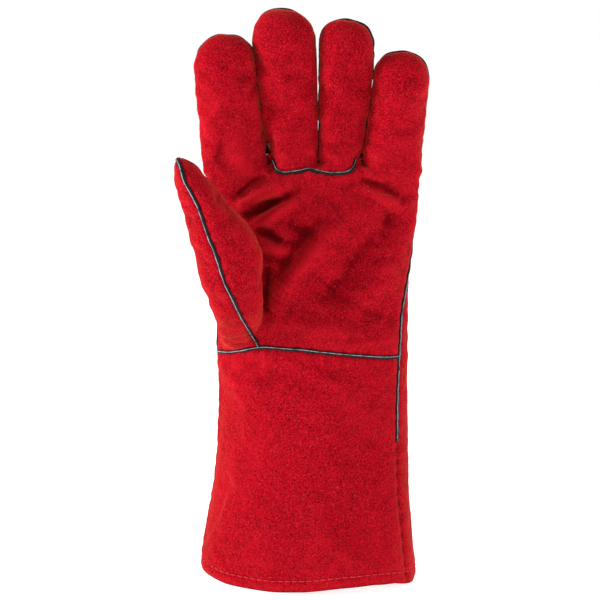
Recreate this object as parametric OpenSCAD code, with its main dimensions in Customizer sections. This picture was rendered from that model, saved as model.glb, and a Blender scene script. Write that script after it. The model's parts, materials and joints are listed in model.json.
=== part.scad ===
// Left-hand welding gauntlet standing on its cuff, palm towards -Y, fingers up.
// Every tube is a loft of level rings. A ring is an oval with its own seams, where welts sit
// between the palm-side and the back-side leather, and the linings repeat the same rings inside.

/* [Leather, lining and welts] */
// Thickness of the split leather
leather_t = 1.6; // [1.2:0.1:2.0]
// Thickness of the cloth lining
lining_t = 1.4; // [0.8:0.1:1.8]
// Thickness of the welt strip in a seam
welt_t = 1.4; // [1.0:0.1:1.8]
// How far a welt stands out of its seam
welt_out = 0.5; // [0.3:0.1:0.6]
// Clearance between pieces that are sewn together
seam_gap = 0.1; // [0.05:0.01:0.2]

/* [Cuff] */
// Height of the wrist seam above the hem
wrist_z = 144; // [140:1:146]
// Half width of the cuff at the hem
hem_half_w = 68; // [66:0.5:70]
// Half depth of the cuff at the hem
hem_half_d = 38; // [34:1:42]
// Height of the hem stitching above the edge
stitch_z = 7; // [5:1:12]
// Number of stitches round the hem
stitch_count = 64; // [24:4:80]

/* [Hand] */
// Height of the knuckle line, where the fingers bend
knuckle_z = 254; // [252:1:256]
// Half width of the hand at the knuckle line
knuckle_half_w = 64; // [63.5:0.5:65]

/* [Joints] */
// Bend of a finger at its base knuckle
base_bend = 45; // [30:5:45]
// Bend of a finger at its middle knuckle
mid_bend = 60; // [30:5:60]
// Bend of the hand at the wrist
wrist_bend = 25; // [10:5:25]
// Bend of the thumb at its base joint, towards the palm
thumb_bend = 20; // [10:5:20]
// Bend of the thumb at its tip joint, towards the palm
thumb_tip_bend = 35; // [20:5:35]

/* [Hidden] */
joint_gap = 0.4;      // gap between the solids of two bodies at a joint
crease_in = 7;        // depth of a knuckle's axis below the palm-side surface
wrist_crease_in = 9;  // the same at the wrist
arc_steps = 9;        // segments of half a finger ring
wide_steps = 18;      // segments of half a cuff or hand ring
dome = [22, 42, 60, 72, 80];  // angles of the rings over a finger tip

leather = "firebrick";
lining = "tan";
welt = "dimgray";
thread = "gainsboro";

// Fingers: centre x and half width at the base, middle and tip, height of the tip,
// height of the middle knuckle, forward curl of the tip
INDEX  = [[-41.8, -46.4, -50.2], [19.1, 17.8, 16.4], 335, 298, 14];
MIDDLE = [[ -7.0, -11.0, -14.8], [13.4, 17.3, 18.0], 350, 301, 14];
RING   = [[ 18.6,  22.6,  22.9], [10.6, 14.5, 15.1], 343, 299, 13];
LITTLE = [[ 50.0,  54.4,  57.7], [18.0, 16.5, 15.5], 325, 292, 12];
finger_half_d = [15.5, 14.5, 13.5];  // half depth at base, middle and tip
finger_round = 0.92;                 // 1 is an ellipse, smaller is squarer

// Thumb: left edge, right edge, centre y, half depth and front seam angle against height
thumb_joint_z = 206;
thumb_tip_joint_z = 234;
thumb_dome_z = 257;
thumb_tip_z = 268;
thumb_left  = [[143, -50], [155, -51.5], [170, -52.5], [184, -55], [195, -61], [212, -64.5], [227, -68.5],
               [243, -72.5], [257, -76]];
thumb_right = [[143, -35], [155, -31], [165, -28], [180, -26.2], [208, -26.2], [217, -28], [227, -33.5],
               [243, -46.5], [257, -60.5]];
thumb_y     = [[143, -12], [155, -17], [165, -24], [175, -31], [195, -38], [206, -42], [227, -44],
               [257, -46.5]];
thumb_d     = [[143, 8], [155, 12], [165, 15.5], [175, 18], [195, 19.5], [227, 19], [243, 18], [257, 15.5]];
thumb_seam_front = [[143, 305], [161, 293], [184, 268], [199, 256], [223, 244], [250, 255], [257, 262]];
thumb_seam_rear = 445;

// Cuff and hand: half width, centre x, half depth in front and behind, turn of the oval
half_w  = [[0, hem_half_w], [25, 65.7], [60, 61.2], [100, 58.2], [144, 58.4], [155, 58], [175, 57.8],
           [195, 59], [215, 60.3], [235, 62.2], [254, knuckle_half_w]];
mid_x   = [[0, 0.8], [25, 0.8], [60, 2.4], [100, 3.8], [144, 2.8], [175, 3.2], [195, 4], [254, 4]];
front_d = [[0, hem_half_d], [25, 36], [60, 33], [100, 30], [144, 27], [175, 24], [195, 23], [215, 21.5],
           [235, 19], [254, 16.5]];
back_d  = [[0, hem_half_d], [25, 36], [60, 33], [100, 31], [144, 28], [175, 26], [195, 25], [215, 23],
           [235, 20], [254, 17]];
turn_z  = [[0, -10], [144, -8], [254, 0]];
seam_radial = [[0, 172], [144, 172], [254, 180]];
seam_ulnar  = [[0, 346], [144, 348], [220, 356], [254, 360]];
hand_round = 0.86;

cuff_levels = [0, 12, 25, 42, 60, 85, 112, wrist_z - 9, wrist_z - joint_gap / 2];
hand_levels = [wrist_z + joint_gap / 2, 155, 170, 185, 200, 215, 230, 243, knuckle_z - joint_gap / 2];
thumb_base_levels = [wrist_z + 3, 151, 157, 164, 172, 182, 193, thumb_joint_z - joint_gap / 2];
side_welt_end_z = 85;  // below this the ulnar cuff seam has no welt

FINGERS = ["index", "middle", "ring", "little"];
finger_data = [INDEX, MIDDLE, RING, LITTLE];

// ---- rings ----------------------------------------------------------------------------------
// A ring is [z, [centre x, y], [half width, front half depth, back half depth], tip angle,
// [turn, seam 1, seam 2], roundness, crease]. A crease is [slope, direction x, y, start, lean]:
// past start along the direction, the ring rises by slope and follows the tube's lean in x, so
// that two tubes open a V between them.
no_crease = [0, 0, 0, 0, 0];

function power(v, e) = sign(v) * pow(abs(v), e);
function three(p, t) = p[0] * (2*t*t - 3*t + 1) + p[1] * (4*t - 4*t*t) + p[2] * (2*t*t - t);

// The point of ring r at an angle, moved out of the surface by off
function on_ring(r, angle, off) =
    let (c = cos(angle), s = sin(angle), lift = cos(r[3]),
         u = power(c, r[5]), v = power(s, r[5]),
         x = (r[2][0] + off * lift) * u,
         y = ((s < 0 ? r[2][1] : r[2][2]) + off * lift) * v,
         px = r[1][0] + x * cos(r[4][0]) - y * sin(r[4][0]),
         py = r[1][1] + x * sin(r[4][0]) + y * cos(r[4][0]),
         rise = r[6][0] * max(0, r[6][1] * px + r[6][2] * py - r[6][3]))
    [px + r[6][4] * rise, py, r[0] + off * sin(r[3]) + rise];

function arc(r, from, to, steps, off) =
    [for (i = [0:steps]) on_ring(r, from + (to - from) * i / steps, off)];
// Half the angle that a welt takes up in a ring's seam
function welt_angle(r, seam, extra) =
    let (p = on_ring(r, seam, 0), radius = norm([p[0] - r[1][0], p[1] - r[1][1]]))
    asin(min(0.9, (welt_t / 2 + extra) / radius));
// Side 1 runs from seam 1 to seam 2, side 2 from seam 2 round to seam 1
function side_arc(r, side, steps, off) =
    let (seam_1 = r[4][1], half_1 = welt_angle(r, seam_1, seam_gap),
         seam_2 = r[4][2], half_2 = welt_angle(r, seam_2, seam_gap))
    side == 1 ? arc(r, seam_1 + half_1, seam_2 - half_2, steps, off)
              : arc(r, seam_2 - 360 + half_2, seam_1 - half_1, steps, off);
function full_ring(r, steps, off) = concat(side_arc(r, 1, steps, off), side_arc(r, 2, steps, off));
// The four corners of a welt in a seam of ring r, side 1 first
function welt_section(r, which, inner, outer) =
    let (seam = r[4][which], d = welt_angle(r, seam, 0) * (which == 1 ? 1 : -1))
    [on_ring(r, seam + d, inner), on_ring(r, seam + d, outer),
     on_ring(r, seam - d, outer), on_ring(r, seam - d, inner)];

// ---- solids from rings ----------------------------------------------------------------------
function flat(lists) = [for (l = lists) each l];
function two(q) = [[q[0], q[1], q[2]], [q[0], q[2], q[3]]];  // a quad as two triangles
function turned(l) = [for (i = [len(l) - 1:-1:0]) l[i]];
function fan(loop) = [for (i = [1:len(loop) - 2]) [loop[0], loop[i], loop[i + 1]]];

// A wall between outer and inner point rows. closed joins the ends of each row, tip closes the top.
module wall(outer, inner, closed = false, tip = false) {
    n = len(outer) - 1;
    w = len(outer[0]);
    m = closed ? w : w - 1;
    function o(i, j) = i * w + j % w;
    function q(i, j) = (n + 1) * w + i * w + j % w;
    skin = [for (i = [0:n - 1], j = [0:m - 1])
        each concat(two([o(i, j), o(i + 1, j), o(i + 1, j + 1), o(i, j + 1)]),
                    two([q(i, j), q(i, j + 1), q(i + 1, j + 1), q(i + 1, j)]))];
    base = [for (j = [0:m - 1]) each two([o(0, j), o(0, j + 1), q(0, j + 1), q(0, j)])];
    top = tip ? concat(fan([for (j = [w - 1:-1:0]) o(n, j)]), fan([for (j = [0:w - 1]) q(n, j)]))
              : [for (j = [0:m - 1]) each two([o(n, j + 1), o(n, j), q(n, j), q(n, j + 1)])];
    ends = closed ? [] : [for (i = [0:n - 1])
        each concat(two([o(i + 1, 0), o(i, 0), q(i, 0), q(i + 1, 0)]),
                    two([o(i, m), o(i + 1, m), q(i + 1, m), q(i, m)]))];
    tip_end = tip && !closed ? two([o(n, m), o(n, 0), q(n, 0), q(n, m)]) : [];
    polyhedron(concat(flat(outer), flat(inner)), concat(skin, base, top, ends, tip_end));
}

// A bar whose sections are closed loops of points
module bar(sections) {
    n = len(sections) - 1;
    w = len(sections[0]);
    skin = [for (i = [0:n - 1], j = [0:w - 1])
        each two([i * w + j, (i + 1) * w + j, (i + 1) * w + (j + 1) % w, i * w + (j + 1) % w])];
    caps = concat(fan([for (j = [0:w - 1]) j]), fan([for (j = [w - 1:-1:0]) n * w + j]));
    polyhedron(flat(sections), concat(skin, caps));
}

module side(rings, which, steps, tip = false) {
    wall([for (r = rings) side_arc(r, which, steps, 0)],
         [for (r = rings) side_arc(r, which, steps, -leather_t)], tip = tip);
}
inner_face = -leather_t - seam_gap;
module tube_lining(rings, steps, tip = false) {
    wall([for (r = rings) full_ring(r, steps, inner_face)],
         [for (r = rings) full_ring(r, steps, inner_face - lining_t)], closed = true, tip = tip);
}
module seam_welt(rings, which) {
    order = which == 1 ? rings : turned(rings);
    bar([for (r = order) welt_section(r, which, -leather_t, welt_out)]);
}
// One welt up seam 1, over the tip and down seam 2
module tip_welt(rings) {
    bar(concat([for (r = rings) welt_section(r, 1, -leather_t, welt_out)],
               [for (r = turned(rings)) welt_section(r, 2, -leather_t, welt_out)]));
}
module volume_of(rings, steps, off) {
    bar([for (r = rings) full_ring(r, steps, off)]);
}

// ---- rings of each tube ---------------------------------------------------------------------
function body_ring(z, crease = no_crease) =
    [z, [lookup(z, mid_x), 0], [lookup(z, half_w), lookup(z, front_d), lookup(z, back_d)], 0,
     [lookup(z, turn_z), lookup(z, seam_radial), lookup(z, seam_ulnar)], hand_round, crease];
wrist_crease = [tan(wrist_bend / 2), 0, -1, lookup(wrist_z, front_d) - wrist_crease_in, 0];
function down(crease) = [-crease[0], crease[1], crease[2], crease[3], crease[4]];
knuckle_y = -(finger_half_d[0] - crease_in);
base_crease = [tan(base_bend / 2), 0, -1, -knuckle_y, 0];
cuff_rings = [for (z = cuff_levels) body_ring(z, z > wrist_z - 1 ? down(wrist_crease) : no_crease)];
hand_rings = [for (z = hand_levels)
    body_ring(z, z < wrist_z + 1 ? wrist_crease : z > knuckle_z - 1 ? down(base_crease) : no_crease)];

function finger_ring(f, z, crease = no_crease, angle = 0) =
    let (t = (z - knuckle_z) / (f[2] - knuckle_z),
         d = three(finger_half_d, t), a = three(f[1], t), tip_r = f[1][2] * 0.95,
         dome_z = f[2] - tip_r)
    [angle > 0 ? dome_z + tip_r * sin(angle) : z, [three(f[0], t), -f[4] * t * t],
     [a * cos(angle), d * cos(angle), d * cos(angle)], angle, [0, 180, 360], finger_round, crease];
function mid_axis_y(f) =
    let (t = (f[3] - knuckle_z) / (f[2] - knuckle_z))
    -f[4] * t * t - three(finger_half_d, t) + crease_in;
function mid_crease(f) = [tan(mid_bend / 2), 0, -1, -mid_axis_y(f), 0];
function base_rings(f) =
    let (low = knuckle_z + joint_gap / 2, high = f[3] - joint_gap / 2)
    [for (i = [0:4]) let (z = low + (high - low) * i / 4)
        finger_ring(f, z, i == 0 ? base_crease : i == 4 ? down(mid_crease(f)) : no_crease)];
function tip_rings(f) =
    let (low = f[3] + joint_gap / 2, high = f[2] - f[1][2] * 0.95)
    concat([for (i = [0:3]) finger_ring(f, low + (high - low) * i / 3, i == 0 ? mid_crease(f) : no_crease)],
           [for (a = dome) finger_ring(f, high + f[1][2] * 0.95 * sin(a), no_crease, a)]);

function thumb_ring(z, crease = no_crease, angle = 0, z_at = undef) =
    let (l = lookup(z, thumb_left), r = lookup(z, thumb_right), k = cos(angle))
    [is_undef(z_at) ? z : z_at, [(l + r) / 2, lookup(z, thumb_y)],
     [(r - l) / 2 * k, lookup(z, thumb_d) * k, lookup(z, thumb_d) * k], angle,
     [0, lookup(z, thumb_seam_front), thumb_seam_rear], 1, crease];
// The thumb bends towards +X, so its creases open on that side
function thumb_axis_x(z) = lookup(z, thumb_right) - crease_in;
function thumb_crease(z, bend) =
    [tan(bend / 2), 1, 0, thumb_axis_x(z), (lookup(z + 6, thumb_right) - lookup(z - 6, thumb_right)) / 12];
thumb_base_rings = [for (z = thumb_base_levels)
    thumb_ring(z, z > thumb_joint_z - 1 ? down(thumb_crease(thumb_joint_z, thumb_bend)) : no_crease)];
thumb_mid_rings = let (low = thumb_joint_z + joint_gap / 2, high = thumb_tip_joint_z - joint_gap / 2)
    [for (i = [0:4]) thumb_ring(low + (high - low) * i / 4,
        i == 0 ? thumb_crease(thumb_joint_z, thumb_bend)
        : i == 4 ? down(thumb_crease(thumb_tip_joint_z, thumb_tip_bend)) : no_crease)];
thumb_tip_rings = let (low = thumb_tip_joint_z + joint_gap / 2)
    concat([for (i = [0:4]) thumb_ring(low + (thumb_dome_z - low) * i / 4,
        i == 0 ? thumb_crease(thumb_tip_joint_z, thumb_tip_bend) : no_crease)],
           [for (a = dome) thumb_ring(thumb_dome_z, no_crease, a,
                                      thumb_dome_z + (thumb_tip_z - thumb_dome_z) * sin(a))]);

// ---- cuff -----------------------------------------------------------------------------------
module cuff_front() { color(leather) side(cuff_rings, 1, wide_steps); }
module cuff_back() { color(leather) side(cuff_rings, 2, wide_steps); }
module cuff_lining() {
    color(lining) tube_lining(concat([body_ring(3)], [for (r = cuff_rings) if (r[0] > 0) r]), wide_steps);
}
module cuff_welt_ulnar() {
    color(welt) seam_welt([for (z = [side_welt_end_z, 112, wrist_z - 9]) body_ring(z)], 2);
}
module cuff_welt_radial() {
    color(welt) seam_welt([for (z = [1, 12, 25, 42, 60, 85, 112, wrist_z - 9]) body_ring(z)], 1);
}
// A band round the top of the cuff, over the wrist seam
module wrist_band(which) {
    r = [for (z = [wrist_z - 8, wrist_z - 5.5]) body_ring(z)];
    rows = [for (k = [0, 1]) side_arc(r[k], which, wide_steps, welt_out + seam_gap)];
    inner_rows = [for (k = [0, 1]) side_arc(r[k], which, wide_steps, seam_gap)];
    wall(rows, inner_rows);
}
module wrist_welt_front() { color(welt) wrist_band(1); }
module wrist_welt_back() { color(welt) wrist_band(2); }
module hem_stitching() {
    r = body_ring(stitch_z);
    for (i = [0:stitch_count - 1]) {
        a = 360 * (i + 0.5) / stitch_count;
        p = on_ring(r, a, 0.35);
        q = on_ring(r, a + 1, 0.35);
        turn = atan2(q[1] - p[1], q[0] - p[0]);
        beside_welt = abs(a - r[4][1]) > 4;
        if (beside_welt) color(thread) translate(p) rotate([0, 0, turn]) cube([3.2, 0.4, 0.8], center = true);
    }
}

// ---- hand and thumb base --------------------------------------------------------------------
module thumb_hole() { volume_of(thumb_base_rings, arc_steps, seam_gap); }
module hand_volume() { volume_of([for (z = hand_levels) body_ring(z)], wide_steps, seam_gap); }
module hand_side(which) {
    difference() {
        side(hand_rings, which, wide_steps);
        thumb_hole();
    }
}
module hand_lining(which) {
    difference() {
        wall([for (r = hand_rings) side_arc(r, which, wide_steps, inner_face)],
             [for (r = hand_rings) side_arc(r, which, wide_steps, inner_face - lining_t)]);
        thumb_hole();
    }
}
module palm_panel() { color(leather) hand_side(1); }
module back_panel() { color(leather) hand_side(2); }
module palm_lining() { color(lining) hand_lining(1); }
module back_lining() { color(lining) hand_lining(2); }
module hand_welt_ulnar() { color(welt) seam_welt([for (z = hand_levels) body_ring(z)], 2); }
module hand_welt_radial() {
    color(welt) difference() {
        seam_welt([for (z = hand_levels) body_ring(z)], 1);
        thumb_hole();
    }
}
// The welt under the middle and ring fingers, on the palm just below the knuckle line
module finger_base_welt() {
    r = [for (z = [knuckle_z - 7, knuckle_z - 4.6]) body_ring(z)];
    color(welt) wall([for (k = r) arc(k, 246, 298, 10, welt_out + seam_gap)],
                     [for (k = r) arc(k, 246, 298, 10, seam_gap)]);
}
// The leather between neighbouring fingers, which closes the hand behind the knuckle axis
module finger_crotches() {
    depth = back_d[len(back_d) - 1][1] - leather_t - lining_t - 2.5;  // clear of the curved lining
    color(leather) for (i = [0:2]) {
        from = finger_data[i][0][0] + finger_data[i][1][0] - 1;
        to = finger_data[i + 1][0][0] - finger_data[i + 1][1][0] + 1;
        translate([from, knuckle_y + 0.4, knuckle_z - joint_gap / 2 - leather_t])
            cube([to - from, depth - knuckle_y, leather_t]);
    }
}
module thumb_base(which) { difference() { side(thumb_base_rings, which, arc_steps); hand_volume(); } }
module thumb_base_inner() { color(leather) thumb_base(1); }
module thumb_base_outer() { color(leather) thumb_base(2); }
module thumb_base_welt() { color(welt) difference() { seam_welt(thumb_base_rings, 1); hand_volume(); } }
module thumb_base_lining() {
    color(lining) difference() {
        tube_lining(thumb_base_rings, arc_steps);
        hand_volume();
    }
}

// ---- fingers and thumb ----------------------------------------------------------------------
module tube_part(rings, part, tip) {
    if (part == "front" || part == "inner") color(leather) side(rings, 1, arc_steps, tip);
    if (part == "back" || part == "outer") color(leather) side(rings, 2, arc_steps, tip);
    if (part == "lining") color(lining) tube_lining(rings, arc_steps, tip);
    if (part == "welt" && tip) color(welt) tip_welt(rings);
    if (part == "welt" && !tip) color(welt) for (k = [1, 2]) seam_welt(rings, k);
}

cuff_front();
cuff_back();
cuff_lining();
cuff_welt_ulnar();
cuff_welt_radial();
wrist_welt_front();
wrist_welt_back();
hem_stitching();
palm_panel();
back_panel();
palm_lining();
back_lining();
hand_welt_ulnar();
hand_welt_radial();
finger_base_welt();
finger_crotches();
thumb_base_inner();
thumb_base_outer();
thumb_base_welt();
thumb_base_lining();
for (i = [0:3], part = ["front", "back", "welt", "lining"]) {
    finger = finger_data[i];
    tube_part(base_rings(finger), part, false);
    tube_part(tip_rings(finger), part, true);
}
for (part = ["inner", "outer", "welt", "lining"]) {
    tube_part(thumb_mid_rings, part, false);
    tube_part(thumb_tip_rings, part, true);
}
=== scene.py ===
import json
import math

import bmesh
import bpy
import numpy as np
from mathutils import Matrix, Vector, geometry
from mathutils.bvhtree import BVHTree
from mathutils.kdtree import KDTree

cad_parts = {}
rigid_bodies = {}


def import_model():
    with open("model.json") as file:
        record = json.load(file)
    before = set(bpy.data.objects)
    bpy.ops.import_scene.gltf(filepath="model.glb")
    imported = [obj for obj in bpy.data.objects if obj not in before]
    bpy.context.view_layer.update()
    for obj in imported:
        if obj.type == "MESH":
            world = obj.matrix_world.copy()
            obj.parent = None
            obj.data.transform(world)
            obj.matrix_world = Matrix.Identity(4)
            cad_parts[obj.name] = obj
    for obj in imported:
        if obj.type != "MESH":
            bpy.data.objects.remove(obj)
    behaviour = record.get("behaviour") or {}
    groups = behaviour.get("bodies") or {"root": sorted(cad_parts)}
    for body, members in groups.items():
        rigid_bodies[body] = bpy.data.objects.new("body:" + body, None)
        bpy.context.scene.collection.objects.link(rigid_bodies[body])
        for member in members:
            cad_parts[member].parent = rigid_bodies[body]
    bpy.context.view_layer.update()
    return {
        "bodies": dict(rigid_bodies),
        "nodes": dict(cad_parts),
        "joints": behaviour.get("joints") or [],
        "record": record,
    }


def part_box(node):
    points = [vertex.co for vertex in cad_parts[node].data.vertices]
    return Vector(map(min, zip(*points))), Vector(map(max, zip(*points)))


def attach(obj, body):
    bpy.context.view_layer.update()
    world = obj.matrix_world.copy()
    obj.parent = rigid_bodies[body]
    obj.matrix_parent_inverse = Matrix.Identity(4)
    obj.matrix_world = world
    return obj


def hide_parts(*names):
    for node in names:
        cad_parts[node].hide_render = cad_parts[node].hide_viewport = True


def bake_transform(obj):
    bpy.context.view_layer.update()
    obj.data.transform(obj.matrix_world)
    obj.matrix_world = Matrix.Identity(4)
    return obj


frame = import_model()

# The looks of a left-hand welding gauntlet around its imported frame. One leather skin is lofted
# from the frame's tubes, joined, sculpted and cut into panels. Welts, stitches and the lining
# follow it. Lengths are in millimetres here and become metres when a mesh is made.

MM = 0.001

# ---- places from the frame ---------------------------------------------------------------------
JOINTS = {joint["name"]: np.array(joint["pos_m"]) / MM for joint in frame["joints"]}
FINGERS = ["index", "middle", "ring", "little"]
WRIST_Z = JOINTS["wrist"][2]
KNUCKLE_Z = JOINTS["index_base_knuckle"][2]
THUMB_Z = JOINTS["thumb_base_joint"][2]
THUMB_TIP_Z = JOINTS["thumb_tip_joint"][2]

# ---- sizes -------------------------------------------------------------------------------------
RING_POINTS = 48        # points round each loft ring
RING_STEP = 5.0         # height between loft rings
JOINT_CLEAR = 5.0       # no ring is read from the frame this close to a joint's crease
VOXEL = 2.0
LEATHER = 1.6
LINING_DEPTH = 2.4      # the lining's face below the leather's face
# Width and height of the welts, by seam
WELT_SIZE = {"index": (1.6, 0.7), "middle": (1.6, 0.7), "ring": (1.8, 1.0), "little": (1.6, 0.8),
             "other": (2.2, 1.3)}
TIP_WELT = 0.55         # how much higher a finger's welt stands where it goes over the tip
# Half the gap between neighbouring fingers against height above the knuckle line
FINGER_GAPS = {"index": [(18, 0.12), (23, 0.7), (35, 0.7), (41, 0.12)],
               "middle": [(12, 0.12), (20, 0.4), (70, 0.5)],
               "ring": [(0, 0.12), (80, 0.12)]}
# How far the hem rises above its lowest point, against x
HEM = [(-67, 3), (-50, 0.5), (-20, 0), (0, 1.5), (20, 4.5), (40, 6), (54, 5), (66, 0.5)]
HEM_RISE = max(rise for _, rise in HEM)
STITCH_Z = 7.0          # height of the hem stitching

# How far each finger leans sideways while the skin is made, so that neighbours don't fuse
FINGER_LEAN = {"index": -0.48, "middle": -0.16, "ring": 0.16, "little": 0.48}
LEAN_FROM = KNUCKLE_Z
THUMB_LEAN = -0.45      # the thumb leans forwards in the same way
THUMB_LEAN_FROM = THUMB_Z - 16

# Heights where the skin is cut into pieces, and ranges of height across the joint between two bodies
WRIST_BLEND = (WRIST_Z - 14, WRIST_Z + 18)
HEEL_CUT = WRIST_Z + 33
KNUCKLE_BLEND = (KNUCKLE_Z + 4, KNUCKLE_Z + 23)
FINGER_CUT = KNUCKLE_Z + 24.5
MID_BLEND = 12.5        # each side of a middle knuckle
THUMB_BLEND = (THUMB_Z - 11, THUMB_Z + 12)
THUMB_CUT = THUMB_Z + 14
THUMB_TIP_BLEND = (THUMB_TIP_Z - 13, THUMB_TIP_Z + 12)


# ---- numbers -----------------------------------------------------------------------------------
def smoothstep(low, high, value):
    t = np.clip((value - low) / (high - low), 0, 1)
    return t * t * (3 - 2 * t)


def along(table, value):
    """Value of a (place, value, ...) table between its rows."""
    rows = np.array(table, float)
    columns = [np.interp(value, rows[:, 0], rows[:, k]) for k in range(1, rows.shape[1])]
    return columns[0] if len(columns) == 1 else np.stack(columns, -1)


def ripples(points, wavelength, seed, waves=14):
    """Smooth noise from -1 to 1: a sum of waves in random directions."""
    rng = np.random.default_rng(seed)
    direction = rng.normal(size=(waves, 3))
    direction /= np.linalg.norm(direction, axis=1)[:, None]
    number = 2 * math.pi / (wavelength * rng.uniform(0.6, 1.6, waves))
    phase = rng.uniform(0, 2 * math.pi, waves)
    total = np.zeros(len(points))
    for d, k, p in zip(direction, number, phase):
        total += np.sin(points @ d * k + p)
    return total / math.sqrt(waves) * 0.8


# ---- mesh data ---------------------------------------------------------------------------------
def vertices_of(mesh):
    co = np.empty(len(mesh.vertices) * 3)
    mesh.vertices.foreach_get("co", co)
    return co.reshape(-1, 3) / MM


def normals_of(mesh):
    normals = np.empty(len(mesh.vertices) * 3)
    mesh.vertex_normals.foreach_get("vector", normals)
    return normals.reshape(-1, 3)


def edges_of(mesh):
    edges = np.empty(len(mesh.edges) * 2, int)
    mesh.edges.foreach_get("vertices", edges)
    return edges.reshape(-1, 2)


def quads_of(mesh):
    """Faces of a mesh as rows of four vertices; a triangle repeats its last one."""
    faces = [tuple(p.vertices) for p in mesh.polygons]
    return np.array([f if len(f) == 4 else f + (f[-1],) for f in faces])


def relax(co, edges, times, hold=None):
    """Moves each vertex towards the middle of its neighbours; hold keeps some where they are."""
    count = np.bincount(edges.ravel(), minlength=len(co))[:, None]
    for _ in range(times):
        total = np.zeros_like(co)
        np.add.at(total, edges[:, 0], co[edges[:, 1]])
        np.add.at(total, edges[:, 1], co[edges[:, 0]])
        step = (total / np.maximum(count, 1) - co) * 0.5
        co = co + (step if hold is None else step * (1 - hold)[:, None])
    return co


def kd_tree(points):
    tree = KDTree(len(points))
    for i, p in enumerate(points):
        tree.insert(p, i)
    tree.balance()
    return tree


def new_mesh(name, co, faces):
    mesh = bpy.data.meshes.new(name)
    mesh.from_pydata((np.asarray(co) * MM).tolist(), [], [list(dict.fromkeys(map(int, f))) for f in faces])
    mesh.update()
    return mesh


def new_object(name, mesh):
    obj = bpy.data.objects.new(name, mesh)
    bpy.context.scene.collection.objects.link(obj)
    return obj


def evaluated_copy(obj):
    """The mesh of an object with its modifiers applied; the object itself is removed."""
    depsgraph = bpy.context.evaluated_depsgraph_get()
    evaluated = obj.evaluated_get(depsgraph)
    mesh = bpy.data.meshes.new_from_object(evaluated, preserve_all_data_layers=True, depsgraph=depsgraph)
    bpy.data.objects.remove(obj)
    return mesh


# ---- lofts from the frame ----------------------------------------------------------------------
def section(nodes, z):
    """Corners of the convex outline in which the plane at height z cuts some CAD nodes."""
    found = []
    for name in nodes:
        mesh = frame["nodes"][name].data
        co, edges = vertices_of(mesh), edges_of(mesh)
        a, b = co[edges[:, 0]], co[edges[:, 1]]
        cut = (a[:, 2] < z) != (b[:, 2] < z)
        a, b = a[cut], b[cut]
        found.append(a + (b - a) * ((z - a[:, 2]) / (b[:, 2] - a[:, 2]))[:, None])
    points = np.vstack(found)[:, :2]
    return points[geometry.convex_hull_2d([Vector(p) for p in points])]


def ring_at(nodes, z, grow=(0.0, 0.0)):
    """The outline at height z as points at even angles round its middle, made larger by grow."""
    corners = section(nodes, z)
    middle = (corners.min(0) + corners.max(0)) / 2
    half = (corners.max(0) - corners.min(0)) / 2
    ends = np.roll(corners, -1, axis=0)
    fine = np.vstack([corners + (ends - corners) * t for t in np.arange(0, 1, 0.1)])
    unit = (fine - middle) / half
    order = np.argsort(np.arctan2(unit[:, 1], unit[:, 0]))
    unit = unit[order]
    angle = np.arctan2(unit[:, 1], unit[:, 0])
    radius = np.hypot(unit[:, 0], unit[:, 1])
    wanted = np.arange(RING_POINTS) * 2 * math.pi / RING_POINTS
    r = np.interp(wanted, angle, radius, period=2 * math.pi)
    out = half + np.array(grow)
    x = middle[0] + out[0] * r * np.cos(wanted)
    y = middle[1] + out[1] * r * np.sin(wanted)
    return np.stack([x, y, np.full(RING_POINTS, float(z))], -1)


def oval_ring(x, y, z, half_w, half_d):
    angle = np.arange(RING_POINTS) * 2 * math.pi / RING_POINTS
    return np.stack([x + half_w * np.cos(angle), y + half_d * np.sin(angle), np.full(RING_POINTS, z)], -1)


def scaled_ring(ring, scale, z):
    middle = (ring.min(0) + ring.max(0)) / 2
    moved = middle + (ring - middle) * scale
    moved[:, 2] = z
    return moved


def tip_rings(ring, top, squareness, shift):
    """Rings that close a tube over its tip: a dome whose crown is moved sideways by shift."""
    z0 = ring[0, 2]
    rings = []
    for t in (0.25, 0.45, 0.62, 0.76, 0.87, 0.945, 0.985):
        scale = (1 - t ** squareness) ** (1 / squareness)
        rings.append(scaled_ring(ring, scale, z0 + (top - z0) * t) + (shift * (1 - scale), 0, 0))
    return rings


def heights(low, high, joints):
    """Even heights from low to high that keep clear of the creases at some joints."""
    levels = np.linspace(low, high, int(round((high - low) / RING_STEP)) + 1)
    return [z for z in levels if all(abs(z - j) > JOINT_CLEAR for j in joints)]


def body_rings():
    cuff = [ring_at(["cuff_front", "cuff_back"], z) for z in heights(0.5, WRIST_Z, [WRIST_Z])]
    hand = [ring_at(["palm_panel", "back_panel"], z, (0.3, 0.8))
            for z in heights(WRIST_Z, KNUCKLE_Z, [WRIST_Z, KNUCKLE_Z])]
    below = scaled_ring(cuff[0], 1.0, -8.0)
    top = [scaled_ring(hand[-1], s, KNUCKLE_Z + dz) for s, dz in ((1.01, -2), (0.97, 1), (0.86, 3))]
    return [below] + cuff + hand + top


# Squareness of each fingertip's dome, and how far its crown is moved sideways
TIP_SHAPE = {"index": (2.2, 0), "middle": (2.1, -3.4), "ring": (2.4, -1.8), "little": (2.3, 0)}
# How much wider each finger is than its CAD tube on each side, and how far it is moved sideways
FINGER_FIT = {"index": (1.5, 1.3), "middle": (0.9, -0.2), "ring": (1.3, 0.1), "little": (1.2, -0.7)}


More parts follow.
